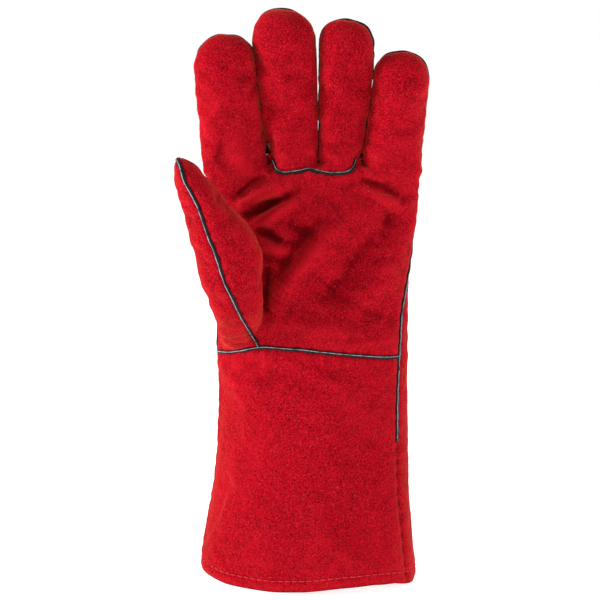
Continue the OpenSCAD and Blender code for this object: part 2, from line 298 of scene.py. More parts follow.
def finger_rings(name):
    mid_z = JOINTS[name + "_middle_knuckle"][2]
    nodes = [f"{name}_{part}_{face}" for part in ("base", "tip") for face in ("front", "back")]
    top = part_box(name + "_tip_back")[1].z / MM
    tip_w = (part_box(name + "_tip_back")[1].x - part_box(name + "_tip_back")[0].x) / MM / 2
    wider, shift = FINGER_FIT[name]
    levels = heights(KNUCKLE_Z, top - tip_w, [KNUCKLE_Z, mid_z])
    rings = [ring_at(nodes, z, (wider, 0.6)) + (shift, 0, 0) for z in levels]
    foot = [scaled_ring(rings[0], s, KNUCKLE_Z + dz) for s, dz in ((0.62, -12), (0.86, -6), (0.96, -1))]
    return foot + rings + tip_rings(rings[-1], top + 0.5, *TIP_SHAPE[name])


# The thumb's root inside the palm: height from its base joint, then middle and half sizes of each
# ring, the middle from the same joint
THUMB_ROOT = [(-57, -8.5, 31, 8.5, 8), (-49, -8.2, 25, 10.8, 12), (-41, -7, 18, 12.2, 15.5),
              (-31, -7.2, 11, 13.4, 18), (-22, -8.4, 8, 14.2, 18.7), (-12, -10.4, 4.5, 15.8, 19.4)]
# As FINGER_FIT, against height from the thumb's tip joint: (height, wider, shift)
THUMB_FIT = [(-25, -1.3, 0.2), (-6, -1.3, 0.1), (4, -2.0, 0.8), (11, -2.0, 0.6), (20, -1.3, -0.4)]
THUMB_TIP = (1.5, -7.5)     # squareness of its dome, and how far its crown is moved sideways
THUMB_DOME = 11             # height of its dome


def thumb_rings():
    joint = JOINTS["thumb_base_joint"]
    root = [oval_ring(joint[0] + dx, joint[1] + dy, THUMB_Z + dz, w, d)
            for dz, dx, dy, w, d in THUMB_ROOT]
    nodes = [f"thumb_{part}_{face}" for part in ("mid", "tip") for face in ("inner", "outer")]
    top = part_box("thumb_tip_outer")[1].z / MM
    rings = []
    for z in heights(THUMB_Z, top - THUMB_DOME, [THUMB_Z, THUMB_TIP_Z]):
        wider, shift = along(THUMB_FIT, z - THUMB_TIP_Z)
        rings.append(ring_at(nodes, z, (wider, 0)) + (shift, 0, 0))
    return root + rings + tip_rings(rings[-1], top + 0.5, *THUMB_TIP)


def loft(rings):
    """A closed tube through some rings: points and faces."""
    n = len(rings[0])
    co = np.vstack(rings + [rings[0].mean(0)[None], rings[-1].mean(0)[None]])
    bottom, top = len(co) - 2, len(co) - 1
    faces = []
    for k in range(len(rings) - 1):
        for j in range(n):
            m = (j + 1) % n
            faces.append((k * n + j, k * n + m, (k + 1) * n + m, (k + 1) * n + j))
    last = (len(rings) - 1) * n
    for j in range(n):
        m = (j + 1) % n
        faces.append((bottom, m, j))
        faces.append((top, last + j, last + m))
    return co, faces


def lean(co, tube, sign):
    """Leans a finger sideways or the thumb forwards (sign 1), or back upright (sign -1)."""
    moved = co.copy()
    if tube in FINGER_LEAN:
        moved[:, 0] += sign * FINGER_LEAN[tube] * np.maximum(0, co[:, 2] - LEAN_FROM)
    if tube == "thumb":
        moved[:, 1] += sign * THUMB_LEAN * np.maximum(0, co[:, 2] - THUMB_LEAN_FROM)
    return moved


class Tube:
    """A loft: its rings, and points on it by height and angle (0 is +X, 270 faces the palm side)."""

    def __init__(self, name, rings):
        self.name = name
        self.rings = np.array(rings)
        self.levels = self.rings[:, 0, 2]

    def point(self, z, degrees):
        k = np.clip(np.interp(z, self.levels, np.arange(len(self.levels))), 0, len(self.levels) - 1.001)
        j = (degrees / 360 * RING_POINTS) % RING_POINTS
        k0, j0 = int(k), int(j)
        a, b = self.rings[k0], self.rings[k0 + 1]
        j1 = (j0 + 1) % RING_POINTS
        low = a[j0] + (a[j1] - a[j0]) * (j - j0)
        high = b[j0] + (b[j1] - b[j0]) * (j - j0)
        return low + (high - low) * (k - k0)

    def edge(self, z, side):
        """The largest x at a height (side 1) or the smallest (side -1)."""
        return np.interp(z, self.levels, side * (side * self.rings[:, :, 0]).max(1))

    def angle(self, co):
        """Angle of points round the tube's middle, in degrees, and how far out they are (1 is on it)."""
        low, high = self.rings[:, :, :2].min(1), self.rings[:, :, :2].max(1)
        middle = np.stack([np.interp(co[:, 2], self.levels, ((low + high) / 2)[:, i]) for i in (0, 1)], -1)
        half = np.stack([np.interp(co[:, 2], self.levels, ((high - low) / 2)[:, i]) for i in (0, 1)], -1)
        unit = (co[:, :2] - middle) / np.maximum(half, 1.0)
        return np.degrees(np.arctan2(unit[:, 1], unit[:, 0])) % 360, np.hypot(unit[:, 0], unit[:, 1])


# ---- the skin ----------------------------------------------------------------------------------
TUBES = {"body": Tube("body", body_rings()), "thumb": Tube("thumb", thumb_rings())}
TUBES.update({name: Tube(name, finger_rings(name)) for name in FINGERS})
TUBE_NAMES = list(TUBES)


def gap_x(left, right, z):
    """Where the gap between two neighbouring fingers is at some heights."""
    return (TUBES[left].edge(z, 1) + TUBES[right].edge(z, -1)) / 2


def hem_height(x):
    """Height of the hem above its lowest point."""
    return along(HEM, x)


def raise_hem(co):
    raised = co.copy()
    raised[:, 2] += hem_height(co[:, 0]) * (1 - smoothstep(0, 70, co[:, 2]))
    return raised


def joined_lofts():
    """All tubes, leaned apart, in one mesh."""
    points, faces, start = [], [], 0
    for name, tube in TUBES.items():
        co, quads = loft(list(tube.rings))
        points.append(lean(co, name, 1))
        faces += [tuple(i + start for i in f) for f in quads]
        start += len(co)
    return new_mesh("lofts", np.vstack(points), faces)


def tube_distances(co):
    """Distance from each point of the leaned skin to each leaned tube, one column a tube."""
    columns = []
    for name, tube in TUBES.items():
        rings = tube.rings
        between = (rings[1:] + rings[:-1]) / 2
        samples = lean(np.vstack([rings.reshape(-1, 3), between.reshape(-1, 3)]), name, 1)
        if name in FINGERS:
            samples = samples[samples[:, 2] > KNUCKLE_Z]
        tree = kd_tree(samples)
        columns.append([tree.find(p)[2] for p in co])
    return np.array(columns).T


def leaned_places(mesh):
    """Where each vertex was while the tubes leaned apart."""
    co = np.empty(len(mesh.vertices) * 3, np.float32)
    mesh.attributes["leaned"].data.foreach_get("vector", co)
    return co.reshape(-1, 3)


def upright(co, distances):
    """Undoes the lean. Where tubes are joined, a point takes a mix of their leans by nearness."""
    weights = 1 / (distances ** 4 + 0.2)
    weights /= weights.sum(1)[:, None]
    return sum(weights[:, k:k + 1] * lean(co, name, -1) for k, name in enumerate(TUBE_NAMES))


def cut_hem(mesh):
    """Cuts the skin off level at the hem and leaves it open there."""
    bm = bmesh.new()
    bm.from_mesh(mesh)
    everything = bm.verts[:] + bm.edges[:] + bm.faces[:]
    bmesh.ops.bisect_plane(bm, geom=everything, plane_co=(0, 0, 0), plane_no=(0, 0, -1), clear_outer=True)
    bmesh.ops.triangulate(bm, faces=[face for face in bm.faces if len(face.verts) > 4])
    bm.to_mesh(mesh)
    bm.free()


def base_skin():
    """The whole leather skin before sculpting: mesh and the tube number of each vertex."""
    obj = new_object("lofts", joined_lofts())
    remesh = obj.modifiers.new("remesh", "REMESH")
    remesh.mode = "VOXEL"
    remesh.voxel_size = VOXEL * MM
    mesh = evaluated_copy(obj)
    co = relax(vertices_of(mesh), edges_of(mesh), 6)
    mesh.vertices.foreach_set("co", (co * MM).ravel())
    cut_hem(mesh)
    co = vertices_of(mesh)
    leaned = mesh.attributes.new("leaned", "FLOAT_VECTOR", "POINT")
    leaned.data.foreach_set("vector", co.astype(np.float32).ravel())
    distances = tube_distances(co)
    co = raise_hem(upright(co, distances))
    mesh.vertices.foreach_set("co", (co * MM).ravel())
    mesh.update()
    return mesh, distances.argmin(1)


SIM_FRAMES = 16
SIM_CAP = 1.8           # the furthest that the simulation may move a point


def filled_out(mesh, hold):
    """Lets the skin swell and wrinkle between its seams in a short cloth simulation."""
    co = vertices_of(mesh)
    obj = new_object("cloth", mesh.copy())
    group = obj.vertex_groups.new(name="hold")
    for i, weight in enumerate(hold):
        group.add([i], float(weight), "REPLACE")
    cloth = obj.modifiers.new("cloth", "CLOTH").settings
    cloth.vertex_group_mass = "hold"
    cloth.effector_weights.gravity = 0
    cloth.use_pressure = True
    cloth.uniform_pressure_force = 2.5
    cloth.shrink_min = -0.02
    cloth.mass = 0.4
    cloth.tension_stiffness = cloth.compression_stiffness = 25
    cloth.shear_stiffness = 12
    cloth.bending_stiffness = 4
    cloth.quality = 6
    for frame in range(1, SIM_FRAMES + 1):
        bpy.context.scene.frame_set(frame)
    step = vertices_of(evaluated_copy(obj)) - co
    bpy.context.scene.frame_set(1)
    length = np.linalg.norm(step, axis=1)
    return co + step * np.minimum(1, SIM_CAP / np.maximum(length, 1e-9))[:, None]


# ---- seams -------------------------------------------------------------------------------------
# The seam on the little-finger side: how far inside the outline it runs, seen from the palm side,
# against height; below 0 it is behind the outline
ULNAR_INSET = [(0, 6), (60, 7), (92, 6.6), (116, 6), (WRIST_Z, 4.6), (172, 3), (190, 1.4), (205, 0.3), (225, -1.0),
               (KNUCKLE_Z, -0.5)]
ULNAR_WELT_END = 92     # below this height that seam has no welt
# Angle of each other seam round its tube against height
RADIAL = [(0, 158), (WRIST_Z - 20, 162), (WRIST_Z + 6, 176), (200, 181), (KNUCKLE_Z, 181)]
THUMB_FACE = [(WRIST_Z, 305), (161, 293), (184, 268), (199, 256), (223, 247), (250, 254), (262, 262)]
THUMB_REAR = 85
# The thumb's seam over its heel, seen from the palm side: (x, z) from the wrist seam up
THUMB_HEEL = [(-28.8, WRIST_Z + 6), (-30, WRIST_Z + 9), (-36, WRIST_Z + 25), (-43.4, WRIST_Z + 44.5)]
# The two side seams of each finger from where they start: angle against height above the
# knuckle line. Between fingers they run behind the line where the fingers touch.
FINGER_SIDES = {
    "index": ([(0, 168), (55, 170), (66, 179), (76, 186)], [(10, 388), (36, 388), (60, 376), (78, 370)]),
    "middle": ([(12, 154), (60, 152), (80, 168)], [(6, 386), (50, 390), (84, 374)]),
    "ring": ([(6, 152), (50, 150), (80, 165)], [(12, 380), (44, 380), (54, 363), (64, 355), (72, 351)]),
    "little": ([(10, 152), (36, 152), (56, 168)], [(0, 366), (30, 364), (45, 358), (56, 353)]),
}
# How far behind the crown each finger's seam goes over its tip
TIP_BEHIND = {"index": 0.2, "middle": 0.2, "ring": -0.4, "little": 0.0}


def resample(points, step):
    """Points along a path at even steps."""
    points = np.array(points)
    length = np.concatenate([[0], np.cumsum(np.linalg.norm(np.diff(points, axis=0), axis=1))])
    count = max(2, int(round(length[-1] / step)) + 1)
    wanted = np.linspace(0, length[-1], count)
    return np.stack([np.interp(wanted, length, points[:, i]) for i in range(3)], -1)


class Skin:
    """The skin's surface for snapping paths: one tree for all of it and one for each tube."""

    def __init__(self, mesh, tube):
        self.co = vertices_of(mesh)
        self.normals = normals_of(mesh)
        faces = quads_of(mesh)
        face_tube = tube[faces[:, 0]]
        self.whole = self.tree(faces)
        self.parts = {name: self.tree(faces[face_tube == k]) for k, name in enumerate(TUBE_NAMES)}

    def tree(self, faces):
        return BVHTree.FromPolygons(self.co.tolist(), [list(dict.fromkeys(f)) for f in faces.tolist()])

    def snap(self, points, tube=None):
        tree = self.parts[tube] if tube else self.whole
        return np.array([tree.find_nearest(Vector(p))[0] for p in points])

    def from_front(self, xz):
        """Points on the palm side under some (x, z) places."""
        hits = [self.whole.ray_cast(Vector((x, -200, z)), Vector((0, 1, 0)))[0] for x, z in xz]
        return np.array([h for h in hits if h is not None])


def finger_seam(skin, name):
    """Up one side of a finger, over its tip and down the other side."""
    tube = TUBES[name]
    left, right = FINGER_SIDES[name]
    top = tube.levels[-1]
    up = np.append(np.arange(KNUCKLE_Z - 1 + left[0][0], top, 2.0), top)
    down = np.arange(top, KNUCKLE_Z - 1 + right[0][0], -2.0)
    path = [tube.point(z, along(left, z - KNUCKLE_Z)) for z in up]
    path += [tube.point(z, along(right, z - KNUCKLE_Z)) for z in down]
    path = resample(path, 1.5)
    path[:, 1] += TIP_BEHIND[name] * smoothstep(top - 9, top - 1, path[:, 2])
    return skin.snap(path, name)


def thumb_seam(skin):
    """From the wrist up the thumb's face, over its tip and down behind it."""
    tube = TUBES["thumb"]
    top = tube.levels[-1]
    levels = np.append(np.arange(WRIST_Z, top, 2.0), top)
    face = [tube.point(z, along(THUMB_FACE, z)) for z in levels]
    heel_top = THUMB_HEEL[-1][1]
    front = skin.from_front(THUMB_HEEL + [(p[0], p[2]) for p in face if heel_top + 4 < p[2] < THUMB_Z + 50])
    rear = [tube.point(z, THUMB_REAR) for z in levels[::-1] if z > THUMB_Z - 10]
    over = skin.snap([p for p in face if p[2] >= THUMB_Z + 50] + rear, "thumb")
    return resample(np.vstack([front, over]), 1.5)


SEAM_MEET = 16          # below the knuckle line, where a side seam turns to meet a finger's


def radial_seam(skin, finger_start):
    """Up the thumb side of the cuff and hand to the index finger's seam."""
    tube = TUBES["body"]
    path = [tube.point(z, along(RADIAL, z)) for z in np.arange(0, KNUCKLE_Z - SEAM_MEET, 2.0)]
    return resample(skin.snap(resample(path + [finger_start], 2.0)), 1.5)


def inset_angle(z, inset):
    """Angle where the body's outline is this far inside its little-finger edge."""
    angles = np.arange(270, 400, 1.0)
    x = np.array([TUBES["body"].point(z, a)[0] for a in angles])
    edge = x.argmax()
    front, behind = slice(0, edge + 1), slice(edge, None)
    if inset >= 0:
        return np.interp(x[edge] - inset, x[front], angles[front])
    return np.interp(inset, (x[behind] - x[edge])[::-1], angles[behind][::-1])


ULNAR = [(z, inset_angle(z, along(ULNAR_INSET, z))) for z in np.arange(0, KNUCKLE_Z + 1, 6.0)]


def ulnar_seam(skin, low, high, ends=()):
    """Up the little-finger side between two heights, and on to some last points."""
    tube = TUBES["body"]
    path = [tube.point(z, along(ULNAR, z)) for z in np.arange(low, high, 2.0)]
    return resample(skin.snap(resample(path + list(ends), 2.0)), 1.5)


WRIST_SEAM_START = 16   # behind the little-finger edge; the seam goes round to the ulnar seam in front


def wrist_height(degrees):
    """Height of the wrist seam: a little higher under the thumb's heel than at the far side."""
    rise = [(0, -1), (90, -1.5), (180, -1.5), (205, 0.6), (222, 4.3), (238, 6.2), (262, 5.7), (285, 3.7), (315, 0.2),
            (360, -1)]
    return WRIST_Z + along(rise, degrees % 360)


def wrist_seam(skin):
    tube = TUBES["body"]
    ulnar = along(ULNAR, WRIST_Z)
    path = [tube.point(wrist_height(a), a) for a in np.arange(WRIST_SEAM_START, ulnar, 3)]
    return resample(skin.snap(path), 1.5)


# The seam under the middle and ring fingers, as places (x, height from the knuckle line)
FINGER_BASE = [(-20.4, 7.5), (-19.6, 4.4), (-17.4, 1.6), (-13, 0.5), (-6, 1.2), (1.5, 2.8), (7, 1.6), (13.5, 0.3),
               (22, 0.5), (26, 1.8), (28.6, 4.6), (29.4, 8)]


def finger_base_seam(skin):
    return resample(skin.from_front([(x, KNUCKLE_Z + dz) for x, dz in FINGER_BASE]), 1.0)


def all_seams(skin):
    seams = {name: finger_seam(skin, name) for name in FINGERS}
    seams["thumb"] = thumb_seam(skin)
    seams["ulnar"] = ulnar_seam(skin, ULNAR_WELT_END, KNUCKLE_Z - SEAM_MEET, [seams["little"][-1]])
    seams["ulnar_fold"] = ulnar_seam(skin, 0, ULNAR_WELT_END)
    seams["radial"] = radial_seam(skin, seams["index"][0])
    seams["wrist"] = wrist_seam(skin)
    seams["finger_base"] = finger_base_seam(skin)
    return seams


def seam_field(co, seams):
    """Distance of each point to the nearest seam, and the place along all seams laid end to end."""
    samples = np.vstack([resample(s, 0.8) for s in seams.values()])
    tree = kd_tree(samples)
    found = [tree.find(p) for p in co]
    return np.array([f[2] for f in found]), np.array([f[1] for f in found]) * 0.8


# ---- sculpting ---------------------------------------------------------------------------------
# Folds on the palm side: start, middle and end as (x, z), half width, height (below 0 is a valley)
FOLDS = [
    ((-42, 240), (-33, 247), (-22, 254), 4.4, -5.0),
    ((-42, 233), (-29, 240), (-12, 248), 4.2, 5.2),
    ((-37, 227), (-26, 233), (-13, 240), 4.4, -6.4),
    ((-34, 222), (-19, 230), (-2, 239), 4.6, 5.6),
    ((-31, 223), (-23, 219), (-14, 213), 3.6, -5.6),
    ((-30, 213), (-20, 211), (-8, 208), 4.2, 4.2),
    ((-14, 226), (-3, 221), (8, 218), 6.5, -3.6),
    ((30, 251), (43, 246), (56, 239), 4.4, -3.8),
    ((36, 243), (48, 238), (58, 231), 4.6, 2.8),
    ((24, 229), (0, 204), (-24, 168), 8.0, 5.6),
    ((44, 226), (28, 202), (4, 174), 8.5, -4.2),
    ((6, 226), (-8, 208), (-18, 190), 6.0, -3.4),
    ((52, 232), (48, 224), (44, 214), 7.0, -3.0),
    ((57, 214), (46, 196), (28, 174), 8.5, 3.2),
    ((-23, 202), (-24.5, 186), (-25, 169), 3.8, -4.8),
    ((-14, 170), (4, 161), (28, 158), 7.0, 2.6),
    ((4, 196), (24, 180), (48, 168), 7.5, -3.0),
    ((-58, 246), (-52, 262), (-50, 282), 6.5, -2.0),
    ((-36, 250), (-38, 262), (-44, 276), 6.5, 2.2),
]


CROTCH_VALLEY = -1.6    # height of the valleys below the crotches


def bezier(start, middle, end, count=24):
    t = np.linspace(0, 1, count)[:, None]
    control = 2 * np.array(middle) - (np.array(start) + np.array(end)) / 2
    return (1 - t) ** 2 * np.array(start) + 2 * t * (1 - t) * control + t * t * np.array(end)


def fold_height(co, fold):
    start, middle, end, width, height = fold
    path = bezier(start, middle, end)
    near = np.full(len(co), 1e9)
    place = np.zeros(len(co))
    for i, p in enumerate(path):
        d = np.hypot(co[:, 0] - p[0], co[:, 2] - p[1])
        closer = d < near
        near[closer] = d[closer]
        place[closer] = i / (len(path) - 1)
    taper = np.sin(np.clip(place, 0.04, 0.96) * math.pi) ** 0.6
    sharpness = 2.0 if height > 0 else 1.6
    return height * taper * np.exp(-(near / width) ** sharpness)


def crotch_valleys(co, normals):
    """Valleys that carry the gaps between the fingers down to the knuckle line."""
    depth = np.zeros(len(co))
    above_line = smoothstep(KNUCKLE_Z - 2, KNUCKLE_Z + 5, co[:, 2])
    below_web = smoothstep(KNUCKLE_Z + 22, KNUCKLE_Z + 12, co[:, 2])
    facing = smoothstep(0.45, 0.8, np.abs(normals[:, 1]))
    for left, right in zip(FINGERS, FINGERS[1:]):
        depth += np.exp(-((co[:, 0] - gap_x(left, right, co[:, 2])) / 1.8) ** 2)
    return CROTCH_VALLEY * depth * above_line * below_web * facing


def keep_apart(co, tube, inside=0.0):
    """Flattens neighbouring fingers where they touch, so that neither enters the other. The
    lining uses the same rule, further inside."""
    kept = co.copy()
    for left, right in zip(FINGERS, FINGERS[1:]):
        line = gap_x(left, right, co[:, 2])
        gap = along(FINGER_GAPS[left], co[:, 2] - KNUCKLE_Z) + inside
        low_side = tube == TUBE_NAMES.index(left)
        high_side = tube == TUBE_NAMES.index(right)
        kept[low_side, 0] = np.minimum(co[low_side, 0], (line - gap)[low_side])
        kept[high_side, 0] = np.maximum(co[high_side, 0], (line + gap)[high_side])
    return kept


def thumb_share(mesh, tube):
    """1 on the thumb and 0 elsewhere, with a soft edge."""
    on_thumb = (tube == TUBE_NAMES.index("thumb")).astype(float)
    return relax(on_thumb[:, None], edges_of(mesh), 12)[:, 0]


def sculpt(co, normals, on_thumb, distance, place):
    """Heights to move the skin along its normals: puffed panels, drawn-in seams, folds."""
    lift = 0.9 * (1 - np.exp(-(distance / 9) ** 2)) - 0.9 * np.exp(-(distance / 2.0) ** 2)
    puckers = np.sin(place * 2 * math.pi / 9 + 2 * ripples(co, 30, 3)) * np.exp(-(distance / 6) ** 2)
    lift += 0.2 * puckers
    palm = smoothstep(0.1, -0.35, normals[:, 1]) * (1 - on_thumb)
    for fold in FOLDS:
        lift += fold_height(co, fold) * palm
    lift += crotch_valleys(co, normals)
    free = smoothstep(0, 10, distance)
    calm = 1 - 0.6 * smoothstep(WRIST_Z, WRIST_Z - 40, co[:, 2])
    lift += free * calm * (0.9 * ripples(co, 34, 5) + 0.4 * ripples(co, 14, 6))
    lift += free * 0.12 * ripples(co, 5, 7)
    above_hem = co[:, 2] - hem_height(co[:, 0])
    lift -= 0.45 * np.exp(-((above_hem - STITCH_Z) / 1.4) ** 2)
    return lift * smoothstep(-0.5, 3, above_hem)


# ---- pieces ------------------------------------------------------------------------------------
def face_regions(co, faces, tube):
    """For each face, its region and whether it is on the palm side (front)."""
    middle = co[faces].mean(1)
    face_tube = tube[faces[:, 0]]
    z = middle[:, 2]
    region = np.full(len(faces), "cuff", dtype=object)
    front = np.zeros(len(faces), bool)
    for number, name in enumerate(TUBE_NAMES):
        mine = face_tube == number
        angle, _ = TUBES[name].angle(middle[mine])
        height = z[mine]
        if name == "body":
            region[mine] = np.where(height < HEEL_CUT, "cuff", "hand")
            low, high = along(RADIAL, height), along(ULNAR, height)
        elif name == "thumb":
            part = np.where(height < THUMB_CUT, "thumb_mid", "thumb_tip")
            region[mine] = np.where(height < HEEL_CUT, "cuff", part)
            low, high = along(THUMB_FACE, height), np.full(len(height), THUMB_REAR + 360.0)
        else:
            part = np.where(height < FINGER_CUT, name + "_base", name + "_tip")
            region[mine] = np.where(height < KNUCKLE_BLEND[0], "hand", part)
            low, high = (along(side, height - KNUCKLE_Z) for side in FINGER_SIDES[name])
        front[mine] = ((angle - low) % 360) < (high - low)
    return region, front


def cut_out(name, co, faces, wanted, normals, fields):
    """A mesh object of the wanted faces that keeps the whole skin's normals and fields."""
    used, index = np.unique(faces[wanted], return_inverse=True)
    mesh = new_mesh(name, co[used], index.reshape(-1, 4))
    for field, values in fields.items():
        kind = "FLOAT_VECTOR" if values.ndim == 2 else "FLOAT"
        attribute = mesh.attributes.new(field, kind, "POINT")
        key = "vector" if values.ndim == 2 else "value"
        attribute.data.foreach_set(key, values[used].astype(np.float32).ravel())
    mesh.polygons.foreach_set("use_smooth", [True] * len(mesh.polygons))
    mesh.normals_split_custom_set_from_vertices([tuple(n) for n in normals[used]])
    return new_object(name, mesh)


def blend_between(obj, parent, child, low, high):
    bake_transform(obj)


def follow(obj, region):
    """Attaches a hand piece to the hand body; a piece of any other region only has its transform baked into its
    mesh.
    """
    if region == "cuff":
        blend_between(obj, "cuff", "hand", *WRIST_BLEND)
    elif region == "hand":
        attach(obj, "hand")
    elif region == "thumb_mid":
        blend_between(obj, "hand", "thumb_mid", *THUMB_BLEND)
    elif region == "thumb_tip":
        blend_between(obj, "thumb_mid", "thumb_tip", *THUMB_TIP_BLEND)
    elif region.endswith("_base"):
        blend_between(obj, "hand", region, *KNUCKLE_BLEND)
    else:
        finger = region[:-len("_tip")]
        mid_z = JOINTS[finger + "_middle_knuckle"][2]
        blend_between(obj, finger + "_base", region, mid_z - MID_BLEND, mid_z + MID_BLEND)


def region_height(region):
    """The lowest and highest height of a region that a welt crosses."""
    if region == "cuff":
        return -10, HEEL_CUT
    if region == "hand":
        return HEEL_CUT, KNUCKLE_BLEND[0]
    if region == "thumb_mid":
        return HEEL_CUT, THUMB_CUT
    if region == "thumb_tip":
        return THUMB_CUT, 1000
    return (KNUCKLE_Z - 3, FINGER_CUT) if region.endswith("_base") else (FINGER_CUT, 1000)


def runs_between(path, low, high):
    """The stretches of a path whose height is between two heights, each one point longer."""
    inside = (path[:, 2] >= low) & (path[:, 2] < high)
    stretches, start = [], None
    for i, flag in enumerate(inside):
        if flag and start is None:
            start = max(0, i - 1)
        if start is not None and (not flag or i == len(path) - 1):
            stretches.append(path[start:i + 1])
            start = None
    return [s for s in stretches if len(s) > 2]


def strip(path, normals, width, height, sink):
    """A rounded strip along a path that stands on the surface: points, faces and place across
    it. The height is one number, or one for each point."""
    height = np.broadcast_to(height, len(path))[:, None]
    tangent = np.gradient(path, axis=0)
    tangent /= np.linalg.norm(tangent, axis=1)[:, None]
    across = np.cross(tangent, normals)
    across /= np.linalg.norm(across, axis=1)[:, None]
    up = np.cross(across, tangent)
    uneven = (1 + 0.16 * ripples(path, 9, 11))[:, None]
    profile = [(-0.5, 0.35), (-0.43, 0.7), (-0.24, 0.94), (0, 1), (0.24, 0.94), (0.43, 0.7), (0.5, 0.35)]
    rows = [path + across * width * a * uneven + up * height * h * uneven for a, h in profile]
    rows = [rows[0] - up * (sink + 0.35 * height)] + rows + [rows[-1] - up * (sink + 0.35 * height)]
    n, m = len(path), len(rows)
    co = np.stack(rows, 1).reshape(-1, 3)
    faces = [(i * m + j, i * m + j + 1, (i + 1) * m + j + 1, (i + 1) * m + j)
             for i in range(n - 1) for j in range(m - 1)]
    faces += [tuple(range(m))[::-1], tuple((n - 1) * m + j for j in range(m))]
    return co, faces, np.tile([-0.5] + [a for a, _ in profile] + [0.5], n)


def smooth_object(name, parts, material):
    """One object of several strips, smooth shaded, with its place across as a field."""
    points, faces, start = [], [], 0
    for co, some, _ in parts:
        points.append(co)
        faces += [tuple(i + start for i in f) for f in some]
        start += len(co)
    mesh = bpy.data.meshes.new(name)
    mesh.from_pydata((np.vstack(points) * MM).tolist(), [], faces)
    mesh.polygons.foreach_set("use_smooth", [True] * len(mesh.polygons))
    place = mesh.attributes.new("across", "FLOAT", "POINT")
    place.data.foreach_set("value", np.concatenate([part[2] for part in parts]).astype(np.float32))
    mesh.update()
    obj = new_object(name, mesh)
    mesh.materials.append(material)
    return obj


def settled(path, skin_tree, skin_normals, co):
    """A path moved onto the finished skin, and the skin's normals there, both evened out."""
    index = [skin_tree.find(p)[1] for p in path]
    normals = skin_normals[index]
    place = path.copy()
    for i, (p, k) in enumerate(zip(path, index)):
        place[i] = p + skin_normals[k] * np.dot(co[k] - p, skin_normals[k])
    for _ in range(3):
        normals[1:-1] = (normals[:-2] + normals[1:-1] * 2 + normals[2:]) / 4
        place[1:-1] = (place[:-2] + place[1:-1] * 2 + place[2:]) / 4
    normals /= np.linalg.norm(normals, axis=1)[:, None]
    return place, normals


# ---- materials ---------------------------------------------------------------------------------
class Nodes:
    """Short names for building a node material."""

    def __init__(self, name):
        self.material = bpy.data.materials.new(name)
        self.material.use_nodes = True
        self.tree = self.material.node_tree
        self.shader = self.tree.nodes["Principled BSDF"]

    def node(self, kind, inputs=(), **settings):
        made = self.tree.nodes.new(kind)
        for key, value in settings.items():
            setattr(made, key, value)
        for key, value in dict(inputs).items():
            if isinstance(value, bpy.types.NodeSocket):
                self.tree.links.new(value, made.inputs[key])
            else:
                made.inputs[key].default_value = value
        return made

    def attribute(self, name, output="Fac"):
        return self.node("ShaderNodeAttribute", attribute_name=name).outputs[output]

    def noise(self, vector, scale, detail=3.0, rough=0.6):
        values = {"Vector": vector, "Scale": scale, "Detail": detail, "Roughness": rough}
        return self.node("ShaderNodeTexNoise", values).outputs["Fac"]

    def math(self, operation, a, b):
        made = self.node("ShaderNodeMath", operation=operation)
        for socket, value in zip(made.inputs, (a, b)):
            if isinstance(value, bpy.types.NodeSocket):
                self.tree.links.new(value, socket)
            else:
                socket.default_value = value
        return made.outputs[0]

    def spread(self, value, low, high, to_low=0.0, to_high=1.0):
        values = {"Value": value, "From Min": low, "From Max": high, "To Min": to_low, "To Max": to_high}
        return self.node("ShaderNodeMapRange", values).outputs["Result"]

    def mix(self, factor, a, b, blend="MIX"):
        made = self.node("ShaderNodeMix", data_type="RGBA", blend_type=blend)
        for key, value in ((0, factor), (6, a), (7, b)):
            if isinstance(value, bpy.types.NodeSocket):
                self.tree.links.new(value, made.inputs[key])
            else:
                made.inputs[key].default_value = value
        return made.outputs[2]

    def bump(self, height, strength, distance, under=None):
        values = {"Height": height, "Strength": strength, "Distance": distance}
        if under is not None:
            values["Normal"] = under
        return self.node("ShaderNodeBump", values).outputs["Normal"]

    def set(self, **values):
        for key, value in values.items():
            socket = self.shader.inputs[key.replace("_", " ")]
            if isinstance(value, bpy.types.NodeSocket):
                self.tree.links.new(value, socket)
            else:
                socket.default_value = value


def suede(name, dark, middle, light):
    """Split leather: a short nap of paler fibres and a little lint, with painted highlight on the fold crests and
    painted shade in the fold valleys.
    """
    n = Nodes(name)
    rest = n.attribute("rest", "Vector")
    broad = n.noise(rest, 22, 2)
    patches = n.noise(rest, 120, 3, 0.6)
    nap = n.noise(rest, 760, 2, 0.6)
    fibres = n.noise(rest, 1400, 2, 0.7)
    tone = n.math("ADD", n.math("MULTIPLY", patches, 0.25), n.math("MULTIPLY", nap, 0.75))
    colour = n.mix(n.spread(tone, 0.39, 0.53), dark, middle)
    colour = n.mix(n.spread(fibres, 0.47, 0.63, 0.0, 0.9), colour, light)
    colour = n.mix(n.spread(broad, 0.42, 0.72, 0.0, 0.25), colour, light)
    # Painted highlight on the crests of the sculpted folds and painted shade in their valleys, read from the skin's
    # fold field
    painted_fold_shading = n.attribute("painted_fold_shading")
    colour = n.mix(n.spread(painted_fold_shading, 0.1, 1.0, 0.0, 0.55), colour, light)
    colour = n.mix(n.spread(painted_fold_shading, -0.1, -1.0, 0.0, 0.85), colour, dark)
    lint = n.spread(n.noise(rest, 1000, 1, 0.4), 0.68, 0.78, 0.0, 0.2)
    colour = n.mix(lint, colour, (0.60, 0.16, 0.14, 1))
    height = n.math("ADD", n.math("MULTIPLY", patches, 0.25), n.math("MULTIPLY", nap, 0.75))
    soft = n.bump(height, 0.6, 0.0008)
    fine = n.bump(fibres, 0.5, 0.0004, soft)
    n.set(Base_Color=colour, Roughness=n.spread(nap, 0.3, 0.7, 0.85, 1.0), Normal=fine)
    n.set(Specular_IOR_Level=0.02, Sheen_Weight=0.45, Sheen_Roughness=0.4, Sheen_Tint=(1.0, 0.18, 0.10, 1))
    return n.material


